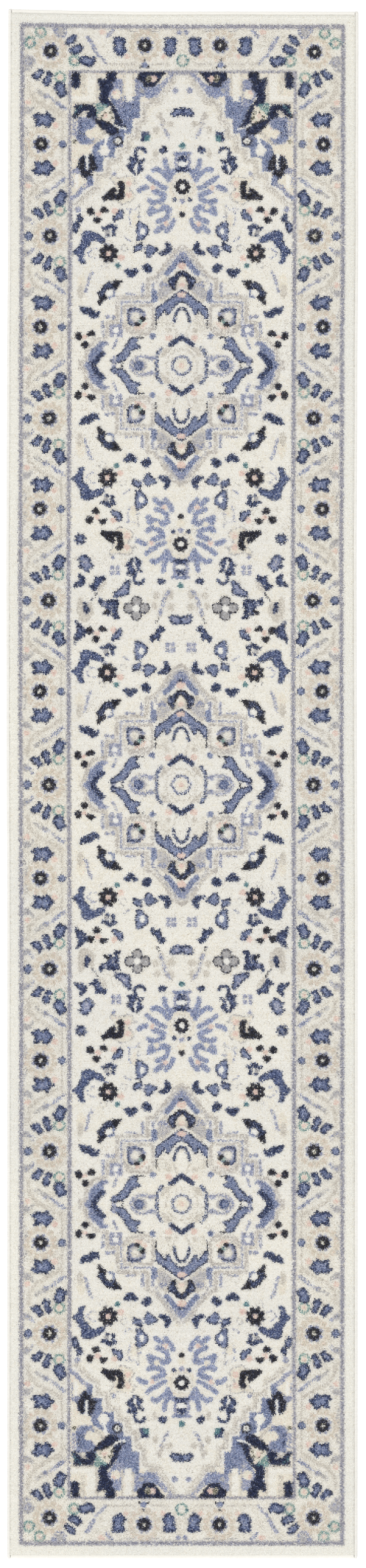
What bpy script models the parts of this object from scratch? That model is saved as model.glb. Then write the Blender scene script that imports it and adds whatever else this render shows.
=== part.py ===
"""Runner rug: a long, narrow power-loomed rug lying flat, face up.

Frame: +Y runs along the rug's length, +X across its width, +Z up through the pile.
The origin is the centre of the underside, on the floor. All sizes are metres.
"""

import math

import bmesh
import bpy
from mathutils import Matrix, Vector

# Overall size of the finished rug
RUG_LENGTH = 3.05
RUG_WIDTH = 0.69

# Layers, from the floor up
BACKING_THICKNESS = 0.0012
GROUND_THICKNESS = 0.0020
PILE_HEIGHT = 0.0072
PILE_EDGE_ROUND = 0.0022

# Long edges: a filler cord wrapped in overcast yarn
CORD_DIAMETER = 0.0040
SERGING_WALL = 0.0012
SERGING_SIDES = 16

# Short ends: the ground cloth turned over into a round nose, with its flap under the rug
HEM_HEIGHT = 0.0070
HEM_DEPTH = 0.0072
HEM_FLAP_LENGTH = 0.0250
HEM_NOSE_STEPS = 8

# Lock stitching that holds each flap, sunk in a shallow furrow on the underside
STITCH_INSET = 0.0060
STITCH_THREAD = 0.0004
STITCH_WIDTH = 0.0010
FURROW_DEPTH = 0.0008

# Clearance kept between pieces that bear on each other
FIT_GAP = 0.0003

# Places that follow from the sizes above
SERGING_DIAMETER = CORD_DIAMETER + 2 * (FIT_GAP + SERGING_WALL)
HALF_LENGTH = RUG_LENGTH / 2
HALF_WIDTH = RUG_WIDTH / 2
BODY_HALF_WIDTH = HALF_WIDTH - SERGING_DIAMETER - FIT_GAP
BODY_HALF_LENGTH = HALF_LENGTH - HEM_DEPTH - FIT_GAP
FLAP_START = BODY_HALF_LENGTH + FIT_GAP - HEM_FLAP_LENGTH
GROUND_BOTTOM = BACKING_THICKNESS + FIT_GAP
PILE_BOTTOM = GROUND_BOTTOM + GROUND_THICKNESS + FIT_GAP

IVORY = (0.84, 0.82, 0.75)
LATEX = (0.62, 0.57, 0.47)
JUTE = (0.55, 0.46, 0.34)


def clear_scene():
    for obj in list(bpy.data.objects):
        bpy.data.objects.remove(obj, do_unlink=True)


def make_material(name, colour, roughness):
    material = bpy.data.materials.new(name)
    material.use_nodes = True
    shader = material.node_tree.nodes["Principled BSDF"]
    shader.inputs["Base Color"].default_value = (*colour, 1.0)
    shader.inputs["Roughness"].default_value = roughness
    shader.inputs["Metallic"].default_value = 0.0
    return material


def finish(name, bm, colour, roughness, parent, location=(0, 0, 0), smooth=False):
    """Turns a bmesh into a named object with its own material, under the rug's empty."""
    bmesh.ops.recalc_face_normals(bm, faces=bm.faces)
    mesh = bpy.data.meshes.new(name)
    bm.to_mesh(mesh)
    bm.free()
    if smooth:
        mesh.shade_smooth()
        mesh.set_sharp_from_angle(angle=math.radians(40))
    mesh.materials.append(make_material(name, colour, roughness))
    obj = bpy.data.objects.new(name, mesh)
    bpy.context.scene.collection.objects.link(obj)
    obj.parent = parent
    obj.location = location
    return obj


def slab(width, length, height):
    """A box on the XY plane, centred on the origin, standing from z = 0 up to its height."""
    bm = bmesh.new()
    bmesh.ops.create_cube(bm, size=1.0)
    bmesh.ops.scale(bm, verts=bm.verts, vec=(width, length, height))
    bmesh.ops.translate(bm, verts=bm.verts, vec=(0, 0, height / 2))
    return bm


def extrude_along(bm, faces, direction):
    swept = bmesh.ops.extrude_face_region(bm, geom=faces)["geom"]
    moved = [item for item in swept if isinstance(item, bmesh.types.BMVert)]
    bmesh.ops.translate(bm, verts=moved, vec=direction)


def make_backing(parent):
    """Latex coat on the underside. It stops where the hems' flaps begin."""
    bm = slab(2 * BODY_HALF_WIDTH, 2 * (FLAP_START - FIT_GAP), BACKING_THICKNESS)
    return finish("latex_backing", bm, LATEX, 0.8, parent)


def make_ground(parent):
    """The woven ground that the tufts are held in."""
    bm = slab(2 * BODY_HALF_WIDTH, 2 * BODY_HALF_LENGTH, GROUND_THICKNESS)
    return finish("ground_weave", bm, JUTE, 0.9, parent, (0, 0, GROUND_BOTTOM))


def make_pile(parent):
    """The cut pile, as one slab whose upper edges are rounded by the splayed outer tufts."""
    bm = slab(2 * BODY_HALF_WIDTH, 2 * BODY_HALF_LENGTH, PILE_HEIGHT)
    top = [edge for edge in bm.edges if all(v.co.z > PILE_HEIGHT / 2 for v in edge.verts)]
    bmesh.ops.bevel(bm, geom=top, offset=PILE_EDGE_ROUND, segments=3, affect="EDGES", profile=0.5)
    return finish("pile", bm, IVORY, 0.95, parent, (0, 0, PILE_BOTTOM))


def tube(outer_diameter, inner_diameter, length):
    """A tube along +Y, or a solid round bar where the inner diameter is zero."""
    bm = bmesh.new()
    circle = {"segments": SERGING_SIDES, "matrix": Matrix.Rotation(math.radians(90), 4, "X")}
    solid = inner_diameter == 0
    bmesh.ops.create_circle(bm, radius=outer_diameter / 2, cap_ends=solid, **circle)
    if not solid:
        bmesh.ops.create_circle(bm, radius=inner_diameter / 2, **circle)
        bmesh.ops.bridge_loops(bm, edges=list(bm.edges))
    bmesh.ops.translate(bm, verts=bm.verts, vec=(0, -length / 2, 0))
    extrude_along(bm, list(bm.faces), Vector((0, length, 0)))
    return bm


def make_long_edge(side_name, side, parent):
    """One long edge: the filler cord, and the overcast yarn round it as an open-ended sleeve."""
    place = (side * (HALF_WIDTH - SERGING_DIAMETER / 2), 0, SERGING_DIAMETER / 2)
    cord = tube(CORD_DIAMETER, 0, RUG_LENGTH)
    finish(f"edge_cord_{side_name}", cord, JUTE, 0.9, parent, place, smooth=True)
    sleeve = tube(SERGING_DIAMETER, CORD_DIAMETER + 2 * FIT_GAP, RUG_LENGTH)
    finish(f"serging_{side_name}", sleeve, IVORY, 0.85, parent, place, smooth=True)


def hem_outline():
    """Section of a hem in the YZ plane, with +Y pointing out of the rug's end."""
    nose_radius = HEM_HEIGHT / 2
    nose_centre = HALF_LENGTH - nose_radius
    flap_top = BACKING_THICKNESS
    seam = FLAP_START + STITCH_INSET
    furrow = STITCH_WIDTH / 2 + FIT_GAP
    section = [
        (FLAP_START, 0),
        (seam - furrow, 0),
        (seam - furrow, FURROW_DEPTH),
        (seam + furrow, FURROW_DEPTH),
        (seam + furrow, 0),
    ]
    for step in range(HEM_NOSE_STEPS + 1):
        angle = math.radians(-90 + 180 * step / HEM_NOSE_STEPS)
        section.append(
            (nose_centre + nose_radius * math.cos(angle), nose_radius * (1 + math.sin(angle)))
        )
    heel = BODY_HALF_LENGTH + FIT_GAP
    return section + [(heel, HEM_HEIGHT), (heel, flap_top), (FLAP_START, flap_top)]


def make_end(end_name, end, parent):
    """One short end: the turned-over hem, and the row of stitching under its flap."""
    bm = bmesh.new()
    corners = [bm.verts.new((-BODY_HALF_WIDTH, end * y, z)) for y, z in hem_outline()]
    section = bm.faces.new(corners)
    extrude_along(bm, [section], Vector((2 * BODY_HALF_WIDTH, 0, 0)))
    finish(f"end_hem_{end_name}", bm, IVORY, 0.9, parent)

    seam = end * (FLAP_START + STITCH_INSET)
    bottom = FURROW_DEPTH - FIT_GAP - STITCH_THREAD
    thread = slab(2 * BODY_HALF_WIDTH, STITCH_WIDTH, STITCH_THREAD)
    finish(f"hem_stitching_{end_name}", thread, IVORY, 0.7, parent, (0, seam, bottom))


def main():
    clear_scene()
    rug = bpy.data.objects.new("runner_rug", None)
    bpy.context.scene.collection.objects.link(rug)
    make_backing(rug)
    make_ground(rug)
    make_pile(rug)
    for side_name, side in (("left", -1), ("right", 1)):
        make_long_edge(side_name, side, rug)
    for end_name, end in (("far", 1), ("near", -1)):
        make_end(end_name, end, rug)


main()
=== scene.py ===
import math

import bmesh
import bpy
import numpy as np
from mathutils import Matrix, Vector


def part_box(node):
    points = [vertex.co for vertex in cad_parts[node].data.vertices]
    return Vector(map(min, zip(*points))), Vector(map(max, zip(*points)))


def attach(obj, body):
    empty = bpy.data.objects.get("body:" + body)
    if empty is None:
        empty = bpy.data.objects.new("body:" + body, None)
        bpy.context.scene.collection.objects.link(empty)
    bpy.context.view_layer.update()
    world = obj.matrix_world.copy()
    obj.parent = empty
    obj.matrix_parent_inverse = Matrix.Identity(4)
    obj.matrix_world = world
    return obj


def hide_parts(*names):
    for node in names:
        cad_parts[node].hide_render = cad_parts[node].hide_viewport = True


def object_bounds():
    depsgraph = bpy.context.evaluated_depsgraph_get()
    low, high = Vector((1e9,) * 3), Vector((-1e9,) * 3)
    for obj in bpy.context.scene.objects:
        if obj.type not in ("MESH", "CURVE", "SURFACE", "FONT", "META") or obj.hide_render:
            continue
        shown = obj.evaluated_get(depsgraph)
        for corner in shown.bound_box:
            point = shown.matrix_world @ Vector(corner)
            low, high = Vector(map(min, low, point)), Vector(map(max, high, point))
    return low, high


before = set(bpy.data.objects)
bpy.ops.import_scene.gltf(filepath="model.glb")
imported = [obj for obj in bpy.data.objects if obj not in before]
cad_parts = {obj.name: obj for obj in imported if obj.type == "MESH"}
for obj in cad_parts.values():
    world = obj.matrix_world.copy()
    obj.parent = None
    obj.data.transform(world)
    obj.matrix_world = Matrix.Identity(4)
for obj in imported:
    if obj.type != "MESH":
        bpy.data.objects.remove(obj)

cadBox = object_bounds()
light = {"sky": 1.0, "sun": 1.0, "sunTilt": 24, "sunAngle": 75}
gain = 1.06  # how much brighter than its own colour a flat, matt surface shows under these lights

lay = {  # how the rug lies: a sideways drift along its length, and a far end that is a little out of square
    "along": (-1.525, -0.9, -0.3, 0.15, 0.42, 0.80, 1.10, 1.525),
    "drift": (0.0, 0.0002, 0.0003, -0.0013, -0.0017, -0.0003, 0.0015, 0.0020),
    "across": (-0.345, -0.27, -0.18, -0.08, 0.10, 0.345),
    "skew": (0.0042, 0.0024, 0.0005, -0.0007, -0.0005, -0.0009),
    "skewReach": 0.35,
}


def easeThrough(places, values, at):
    # an even curve through given values, flat at each of them
    places, values = np.array(places), np.array(values)
    k = np.clip(np.searchsorted(places, at) - 1, 0, len(places) - 2)
    t = np.clip((at - places[k]) / (places[k + 1] - places[k]), 0, 1)
    return values[k] + (values[k + 1] - values[k]) * t * t * (3 - 2 * t)


def layOut(co):
    # moves points of a straight, square rug to where it really lies
    near = np.clip((co[:, 1] - (cadBox[1].y - lay["skewReach"])) / lay["skewReach"], 0, 1)
    skew = easeThrough(lay["across"], lay["skew"], co[:, 0]) * near ** 2
    co[:, 0] += easeThrough(lay["along"], lay["drift"], co[:, 1])
    co[:, 1] += skew


def toLinear(colour):
    c = np.asarray(colour, float) / 255
    return np.where(c < 0.04045, c / 12.92, ((c + 0.055) / 1.055) ** 2.4)


def shade(r, g, b):
    return (*(toLinear((r, g, b)) / gain), 1.0)


# Each yarn: its colour, how far its knots stray from it, and the yarns twisted in with their shares
yarns = {
    "field": ((235, 232, 223), 3, (("ivory", 0.25), ("cream", 0.12), ("sand", 0.02))),
    "ivory": ((240, 238, 231), 2.5, ()),
    "margin": ((238, 236, 227), 3, (("cream", 0.1),)),
    "cream": ((230, 223, 206), 5, (("ivory", 0.15), ("blush", 0.05))),
    "border": ((229, 225, 214), 5, (("beige", 0.12), ("ivory", 0.15), ("cream", 0.12))),
    "sand": ((210, 198, 180), 8, (("beige", 0.3), ("border", 0.15), ("blush", 0.08))),
    "beige": ((203, 196, 184), 9, (("border", 0.25), ("taupe", 0.12))),
    "taupe": ((184, 178, 172), 10, (("beige", 0.35),)),
    "blush": ((222, 193, 182), 8, (("cream", 0.3),)),
    "grey": ((166, 165, 166), 14, (("taupe", 0.25), ("guardPale", 0.2))),
    "guard": ((142, 141, 153), 12, (("guardPale", 0.2), ("lavender", 0.1))),
    "guardPale": ((186, 184, 185), 10, (("beige", 0.25), ("guard", 0.12))),
    "lavender": ((151, 154, 177), 14, (("peri", 0.2), ("grey", 0.14), ("border", 0.08))),
    "peri": ((119, 130, 160), 16, (("lavender", 0.28), ("navy", 0.07), ("guardPale", 0.05))),
    "palm": ((131, 141, 172), 16, (("lavender", 0.28), ("peri", 0.18), ("guardPale", 0.13), ("ivory", 0.04))),
    "slate": ((84, 95, 130), 18, (("peri", 0.25), ("navy", 0.3), ("lavender", 0.06), ("border", 0.04))),
    "ink": ((37, 44, 70), 10, (("navy", 0.25), ("black", 0.2), ("peri", 0.03))),
    "navy": ((48, 57, 86), 14, (("peri", 0.18), ("black", 0.16), ("lavender", 0.04), ("border", 0.025))),
    "black": ((40, 39, 44), 10, (("navy", 0.18), ("grey", 0.04))),
    "teal": ((84, 122, 130), 14, (("mint", 0.25), ("navy", 0.08))),
    "mint": ((131, 158, 150), 14, (("border", 0.16), ("teal", 0.22), ("grey", 0.1))),
    "olive": ((112, 110, 94), 18, (("black", 0.3), ("cream", 0.25))),
}
yarnNames = list(yarns)


chartLook = {"across": 346, "along": 1526, "fleckSeed": 11}  # one quarter of the rug, in cells of 1 mm


class Chart:
    # the weaver's chart: which yarn each cell takes; u runs from the middle to the side, v to the end
    def __init__(self):
        across, along = chartLook["across"], chartLook["along"]
        self.yarn = np.zeros((along, across), np.uint8)
        self.start, self.way = 0.0, 1
        rng = np.random.default_rng(chartLook["fleckSeed"])
        self.fleck = rng.random((along // 2 + 1, across // 2 + 1)).repeat(2, 0).repeat(2, 1)

    def at(self, start, way=1):
        # moves the drawing along the rug, or turns it end for end
        self.start, self.way = start, way
        return self

    def put(self, points, reach, test, yarn, share=1.0):
        # lays one yarn in the cells that pass the test, or in a share of them
        p = np.array([(u, self.start + self.way * v) for u, v in points], float)
        lo = np.maximum(np.floor(p.min(0) - reach).astype(int), 0)
        hi = np.minimum(np.ceil(p.max(0) + reach).astype(int) + 1, self.yarn.shape[::-1])
        if (hi <= lo).any():
            return
        u, v = np.meshgrid(np.arange(lo[0], hi[0]) + 0.5, np.arange(lo[1], hi[1]) + 0.5)
        window = (slice(lo[1], hi[1]), slice(lo[0], hi[0]))
        hit = test(u, v, p)
        if share < 1:
            hit &= self.fleck[window] < share
        self.yarn[window][hit] = yarnNames.index(yarn)

    def fill(self, points, yarn, edge=None, wide=3.0, share=0.85):
        self.put(points, 0, inside, yarn)
        if edge:
            self.line(points + points[:1], wide, edge, share)

    def line(self, points, wide, yarn, share=1.0):
        self.put(points, wide, lambda u, v, p: gap(u, v, p) < wide / 2, yarn, share)

    def disc(self, u0, v0, r, yarn, tall=None):
        rv = tall or r

        def test(u, v, p):
            return ((u - p[0, 0]) / r) ** 2 + ((v - p[0, 1]) / rv) ** 2 < 1
        self.put([(u0, v0)], max(r, rv), test, yarn)

    def ring(self, u0, v0, r, wide, yarn, heart=None, share=1.0):
        def test(u, v, p):
            return abs(np.hypot(u - p[0, 0], v - p[0, 1]) - r) < wide / 2
        self.put([(u0, v0)], r + wide, test, yarn, share)
        if heart:
            self.disc(u0, v0, r - wide / 2, heart)

    def petals(self, u0, v0, count, out, r, yarn, turn=0):
        for k in range(count):
            a = math.radians(turn + 360 * k / count)
            self.disc(u0 + out * math.cos(a), v0 + out * math.sin(a), r, yarn)


def inside(u, v, p):
    # whether cells lie in an outline: each edge to their right turns the answer round
    hit = np.zeros(u.shape, bool)
    for (a, b), (c, d) in zip(p, np.roll(p, -1, 0)):
        crosses = (b > v) != (d > v)
        hit ^= crosses & (u < (c - a) * (v - b) / (d - b + 1e-9) + a)
    return hit


def gap(u, v, p):
    # how far cells lie from a route
    near = np.full(u.shape, 1e9)
    for (a, b), (c, d) in zip(p, p[1:]):
        t = ((u - a) * (c - a) + (v - b) * (d - b)) / max((c - a) ** 2 + (d - b) ** 2, 1e-9)
        t = np.clip(t, 0, 1)
        near = np.minimum(near, np.hypot(u - a - t * (c - a), v - b - t * (d - b)))
    return near


# in all the motifs, m is the chart


def rosette(m, u, v, r, fringe="lavender", heart="ivory", speck="olive"):
    m.petals(u, v, 8, r * 0.95, r * 0.25, fringe, 22.5)
    m.petals(u, v, 8, r * 0.68, r * 0.25, "black")
    m.disc(u, v, r * 0.68, "black")
    m.disc(u, v, r * 0.3, heart)
    m.petals(u, v, 4, r * 0.24, r * 0.13, speck, 45)


def scallops(m, u, v):
    # the pale sand-coloured wreath round each border rosette
    m.petals(u, v, 12, 27, 6.5, "sand", 15)
    m.ring(u, v, 26, 7, "sand", share=0.9)
    m.petals(u, v, 12, 27.5, 2.2, "border", 0)
    m.disc(u, v, 21.5, "border")


def starFlower(m, u, v, r):
    m.petals(u, v, 8, r * 0.72, r * 0.3, "navy", 22.5)
    m.disc(u, v, r * 0.72, "peri")


def blob(m, points, heart="slate"):
    # a leaf or bud: ragged dark edge, broken by black knots, and a lighter heart
    inner = {"slate": "peri", "navy": "slate", "ink": "ink", "peri": "lavender"}[heart]
    u0, v0 = np.mean(points, axis=0)
    m.fill(points, heart)
    m.line(points + points[:1], 4.4, "navy", 0.78)
    m.line(points + points[:1], 3.2, "black" if heart == "ink" else "ink", 0.5)
    m.fill([(u0 + (u - u0) * 0.55, v0 + (v - v0) * 0.55) for u, v in points], inner)


def grounds(m):
    m.fill([(0, 0), (346, 0), (346, 1526), (0, 1526)], "margin")
    m.fill([(0, 0), (317, 0), (317, 1494), (0, 1494)], "border")
    m.fill([(0, 0), (222, 0), (222, 1403), (0, 1403)], "field")


def guardStripes(m):
    for reach, end in ((316.4, 1494), (221.4, 1403)):
        stripe = [(reach, 0), (reach, end), (0, end)]
        m.line(stripe, 10, "guardPale", 0.8)
        m.line(stripe, 6, "guard", 0.93)


def aroundA(m):
    scallops(m, 260.5, 0)
    m.line([(238, 127), (260, 113), (285, 100), (300, 82), (303, 60)], 8, "beige", 0.85)
    rosette(m, 260.5, 0, 15.5)
    starFlower(m, 303, 0, 9)
    m.disc(307, 34, 9, "guardPale", 7)
    m.line([(314, 35), (305, 35), (298, 31), (293, 24)], 7, "lavender", 0.6)
    m.ring(305, 33, 5, 3, "grey", share=0.7)
    blob(m, [(260, 60), (263, 66), (270, 67), (274, 61), (272, 55), (268, 50), (266, 43), (262, 40),
             (255, 48), (262, 53)])
    blob(m, [(281, 34), (273, 40), (278, 47), (281, 53), (288, 55), (296, 50), (292, 44), (285, 41)])
    m.ring(241, 51, 9.5, 4.4, "mint", "cream")
    m.disc(241, 51, 4, "blush")
    blob(m, [(226, 81), (233, 86), (240, 90), (245, 84), (247, 78), (252, 74), (250, 66), (245, 61),
             (238, 61), (232, 66), (232, 74)])
    m.line([(232, 112), (242, 105), (250, 98)], 8, "lavender", 0.7)
    m.line([(236, 110), (246, 102)], 5, "peri", 0.5)
    m.line([(250, 98), (262, 90)], 5, "lavender", 0.6)
    m.disc(268, 88, 6, "lavender", 5)
    m.line([(266, 87), (275, 84), (286, 77)], 8, "grey", 0.6)


def aroundB(m):
    scallops(m, 278, 0)
    rosette(m, 278, 0, 15)
    starFlower(m, 236, 0, 8)
    m.line([(236, 10), (236, 64)], 4, "beige")
    m.line([(307, 6), (306, 20), (309, 34)], 4, "grey", 0.6)
    m.disc(305, 66, 8, "guardPale", 7)
    m.line([(294, 75), (298, 67), (306, 63), (313, 63)], 7, "grey", 0.6)
    blob(m, [(252, 49), (258, 43), (261, 37), (267, 33), (272, 36), (276, 42), (282, 36), (290, 35),
             (288, 43), (287, 48), (295, 53), (288, 59), (282, 60), (277, 57), (271, 58), (266, 62),
             (262, 57), (259, 52)])
    m.disc(250, 37, 6, "blush")
    m.disc(304, 82, 6, "blush", 5)


def sideBorder(m):
    for centre in (0, 363, 722, 1081, 1444):
        for way in (1, -1):
            aroundA(m.at(centre, way))
    for centre in (184, 543, 902, 1262):
        for way in (1, -1):
            aroundB(m.at(centre, way))


def cornerBorder(m):
    m.at(0).fill([(130, 1410), (345, 1410), (345, 1526), (130, 1526)], "border")
    m.fill([(0, 1403), (224, 1403), (224, 1494), (0, 1494)], "border")
    m.fill([(317, 1400), (346, 1400), (346, 1526), (0, 1526), (0, 1494), (317, 1494)], "margin")
    scallops(m, 260, 1444)
    rosette(m, 260, 1444, 15)
    for u, v in ((280, 1481), (301, 1461), (212, 1426)):
        m.ring(u, v, 9.5, 5, "mint", "cream")
        m.ring(u, v, 5, 2, "grey", "cream", 0.6)
        m.disc(u, v, 3, "blush")
    for u, v in ((280, 1494), (291, 1460), (312, 1461), (214, 1439), (200, 1430)):
        m.disc(u, v, 3.5, "teal")
    m.line([(291, 1422), (297, 1432), (303, 1434), (312, 1429)], 5, "lavender", 0.7)
    m.petals(303, 1423, 6, 8, 4.6, "grey")
    m.disc(303, 1423, 8.5, "guardPale")
    m.ring(303, 1423, 5.5, 2.4, "lavender", share=0.8)
    m.disc(240, 1483, 13, "guardPale")
    m.petals(240, 1483, 8, 10, 3.6, "lavender", 20)
    m.petals(240, 1483, 6, 6, 2.4, "grey", 20)
    m.petals(240, 1483, 6, 8.5, 1.8, "cream", 50)
    m.disc(252, 1490, 7, "lavender")
    blob(m, [(210, 1475), (215, 1476), (222, 1472), (226, 1466), (230, 1460), (225, 1456), (219, 1460),
             (212, 1464)])
    blob(m, [(197, 1453), (203, 1458), (210, 1455), (218, 1451), (224, 1446), (220, 1441), (213, 1440),
             (205, 1442), (199, 1446)])
    blob(m, [(172, 1427), (175, 1433), (183, 1431), (190, 1435), (198, 1433), (203, 1428), (200, 1421),
             (192, 1419), (185, 1416), (178, 1416)])
    m.line([(187, 1471), (182, 1466), (177, 1456), (173, 1449)], 8, "lavender", 0.85)
    m.line([(173, 1449), (167, 1437), (160, 1432), (150, 1420)], 5, "lavender", 0.85)
    m.line([(137, 1493), (138, 1486), (143, 1480), (148, 1474)], 7, "lavender", 0.7)
    m.disc(158, 1483, 7, "blush", 5)
    blob(m, [(112, 1468), (118, 1470), (126, 1472), (135, 1471), (136, 1464), (133, 1457), (135, 1448),
             (130, 1440), (122, 1436), (115, 1441), (110, 1449), (116, 1452), (117, 1459)])
    blob(m, [(11, 1464), (14, 1470), (22, 1471), (35, 1470), (35, 1463), (31, 1457), (38, 1448),
             (33, 1442), (29, 1437), (24, 1436), (18, 1441), (13, 1448), (16, 1455)])
    scallops(m, 74, 1457)
    rosette(m, 74, 1457, 15)
    m.disc(75, 1418, 6, "peri")
    m.petals(75, 1419, 3, 9, 2.5, "black", 90)
    m.ring(0, 1427, 10.5, 4, "mint", "border")
    m.disc(10, 1429, 3, "teal")
    m.disc(7, 1483, 5, "lavender")
    m.line([(27, 1420), (60, 1420)], 2, "taupe")
    m.line([(92, 1420), (150, 1420)], 2, "taupe")
    for left, right in ((44, 64), (90, 108)):
        m.line([(left, 1485), (right, 1485)], 2.2, "grey")
    for u in (37, 110):
        m.disc(u, 1435, 5, "blush")


def spandrel(m):
    m.at(0)
    steps = [(22, 1402), (34, 1388), (48, 1366), (58, 1350), (82, 1346), (84, 1313), (97, 1310),
             (99, 1283), (114, 1281), (116, 1257), (132, 1255), (134, 1236), (154, 1234), (156, 1208),
             (175, 1206), (175, 1182), (186, 1178), (196, 1170), (206, 1160), (219, 1148)]
    m.fill(steps + [(219, 1402)], "cream")
    # blue grounds behind the leaves and flowers
    m.fill([(84, 1357), (86, 1316), (98, 1312), (100, 1286), (115, 1283), (118, 1259), (134, 1257),
            (138, 1280), (122, 1296), (128, 1330), (140, 1346), (141, 1358)], "peri")
    m.fill([(116, 1350), (142, 1352), (146, 1366), (138, 1384), (132, 1390), (119, 1390)], "palm")
    m.fill([(170, 1313), (207, 1316), (208, 1276), (196, 1262), (176, 1262), (172, 1274), (186, 1284),
            (184, 1296), (170, 1300)], "palm")
    m.fill([(134, 1256), (136, 1238), (156, 1235), (158, 1210), (175, 1208), (177, 1238), (172, 1262),
            (160, 1270), (142, 1276)], "peri")
    m.line([(max(u - 7, 0), v - 5) for u, v in steps], 5, "taupe", 0.7)
    m.line([(max(u - 12, 0), v - 9) for u, v in steps], 6, "beige", 0.7)
    m.fill([(171, 1346), (187, 1346), (187, 1400), (171, 1400)], "field")
    m.fill([(171, 1346), (219, 1346), (219, 1357), (171, 1357)], "field")
    m.line([(168, 1400), (168, 1343), (216, 1343)], 4, "beige")
    m.line([(195, 1400), (195, 1362)], 8, "beige", 0.7)
    m.fill([(99, 1346), (112, 1346), (112, 1400), (99, 1400)], "field")
    m.line([(96, 1400), (96, 1348)], 4, "beige", 0.8)
    m.line([(117, 1400), (117, 1348)], 4, "beige")
    blob(m, [(203, 1402), (216, 1402), (217, 1375), (210, 1372), (203, 1377)], "ink")
    # the half flower at the end, with its tapering leaf
    m.line([(22, 1400), (40, 1378), (52, 1360), (56, 1354)], 9, "lavender", 0.85)
    m.fill([(40, 1384), (50, 1366), (56, 1352), (66, 1350), (75, 1357), (92, 1357), (94, 1392),
            (84, 1392), (72, 1376), (56, 1376)], "palm")
    m.line([(80, 1388), (88, 1380), (88, 1360)], 9, "lavender", 0.7)
    m.disc(80, 1368, 5, "grey")
    m.fill([(34, 1404), (40, 1398), (46, 1388), (53, 1380), (58, 1376), (74, 1376), (76, 1384),
            (88, 1391), (84, 1404)], "ink", "black")
    m.disc(57, 1391, 6, "blush", 7)
    m.disc(67, 1391, 6, "olive", 8)
    m.disc(14, 1368, 6, "lavender")
    # stepped periwinkle ground
    m.fill([(84, 1357), (95, 1357), (97, 1342), (113, 1340), (112, 1312), (84, 1314)], "peri")
    m.fill([(99, 1312), (113, 1312), (112, 1283), (100, 1283)], "peri")
    m.line([(122, 1384), (122, 1372), (132, 1379), (141, 1372), (146, 1362), (139, 1353)], 8, "lavender", 0.9)
    m.disc(130, 1360, 10, "cream")
    m.disc(134, 1364, 4, "blush")
    m.disc(123, 1342, 8, "lavender")
    # trunk, flower and leaves in the corner
    blob(m, [(131, 1403), (148, 1403), (149, 1393), (153, 1386), (163, 1391), (165, 1388), (160, 1365),
             (163, 1352), (160, 1340), (148, 1336), (141, 1336), (135, 1322), (134, 1304), (125, 1298),
             (113, 1297), (120, 1302), (124, 1312), (126, 1322), (132, 1330), (143, 1343), (150, 1350),
             (149, 1370), (144, 1378), (137, 1386), (131, 1390)],
             "ink")
    m.fill([(150, 1340), (170, 1341), (172, 1330), (170, 1314), (160, 1324), (149, 1334)], "mint",
           "teal", 4, 0.6)
    m.disc(149, 1316, 15, "cream", 13)
    m.petals(149, 1315, 6, 11, 3.6, "olive", 10)
    m.disc(152, 1318, 5, "blush")
    m.line([(143, 1336), (152, 1330), (168, 1314)], 5, "cream")
    m.fill([(125, 1287), (130, 1295), (137, 1300), (147, 1304), (157, 1309), (171, 1310), (168, 1303),
            (160, 1295), (152, 1284), (141, 1281), (131, 1281)], "ink", "black", 3.5)
    m.line([(110, 1292), (124, 1294), (134, 1300)], 4, "ivory")
    blob(m, [(169, 1311), (171, 1328), (176, 1339), (212, 1339), (210, 1328), (216, 1315), (209, 1314),
             (205, 1322), (199, 1329), (187, 1331), (182, 1326), (188, 1318), (182, 1314)], "ink")
    m.line([(200, 1336), (209, 1329), (213, 1319)], 5, "teal", 0.45)
    m.line([(186, 1327), (200, 1320), (209, 1310)], 5, "taupe", 0.8)
    m.fill([(175, 1307), (185, 1312), (195, 1310), (203, 1305), (203, 1290), (195, 1285), (186, 1290),
            (176, 1293), (173, 1300)],
           "peri", "lavender", 3)
    m.line([(203, 1314), (199, 1300), (203, 1282)], 6, "navy", 0.5)
    m.fill([(164, 1290), (172, 1297), (178, 1292), (190, 1290), (192, 1283), (183, 1271), (174, 1275),
            (165, 1284)], "cream")
    m.fill([(176, 1266), (186, 1262), (202, 1265), (208, 1273), (207, 1281), (196, 1283), (189, 1275)],
           "peri", "lavender")
    m.line([(194, 1283), (206, 1280)], 5, "navy", 0.7)
    m.line([(213, 1308), (213, 1281)], 8, "lavender", 0.7)
    m.disc(212, 1267, 4, "olive")
    m.fill([(114, 1280), (140, 1280), (150, 1272), (151, 1258), (142, 1250), (148, 1236), (134, 1236),
            (133, 1255), (117, 1257)], "peri")
    m.ring(127, 1268, 8, 4, "black", "ivory", 0.8)
    m.disc(127, 1268, 2.5, "olive")
    m.line([(161, 1264), (172, 1256), (174, 1246), (170, 1237)], 8, "peri")
    m.fill([(157, 1237), (176, 1240), (173, 1208), (157, 1208)], "peri")
    m.disc(154, 1249, 10, "field")
    m.petals(154, 1249, 6, 9, 3, "field")
    m.line([(153, 1260), (148, 1280)], 6, "ivory")
    m.line([(153, 1288), (164, 1276), (176, 1264)], 6, "taupe", 0.8)
    m.fill([(180, 1243), (175, 1237), (172, 1228), (167, 1214), (172, 1210), (180, 1210), (177, 1201),
            (182, 1194), (190, 1192), (200, 1203), (209, 1212), (205, 1221), (203, 1231), (200, 1237),
            (195, 1239), (191, 1236), (192, 1225), (191, 1212), (186, 1210), (184, 1214), (184, 1240)],
            "black", "navy", 3)
    m.line([(187.5, 1240), (187.5, 1214)], 6, "ivory")
    m.disc(209, 1208, 9, "lavender", 7)
    m.line([(182, 1195), (181, 1185)], 12, "peri")
    m.line([(184, 1183), (196, 1176), (206, 1163), (218, 1155)], 9, "lavender", 0.9)
    m.fill([(198, 1196), (204, 1204), (214, 1204), (218, 1170), (210, 1170), (200, 1184)], "cream")
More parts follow.
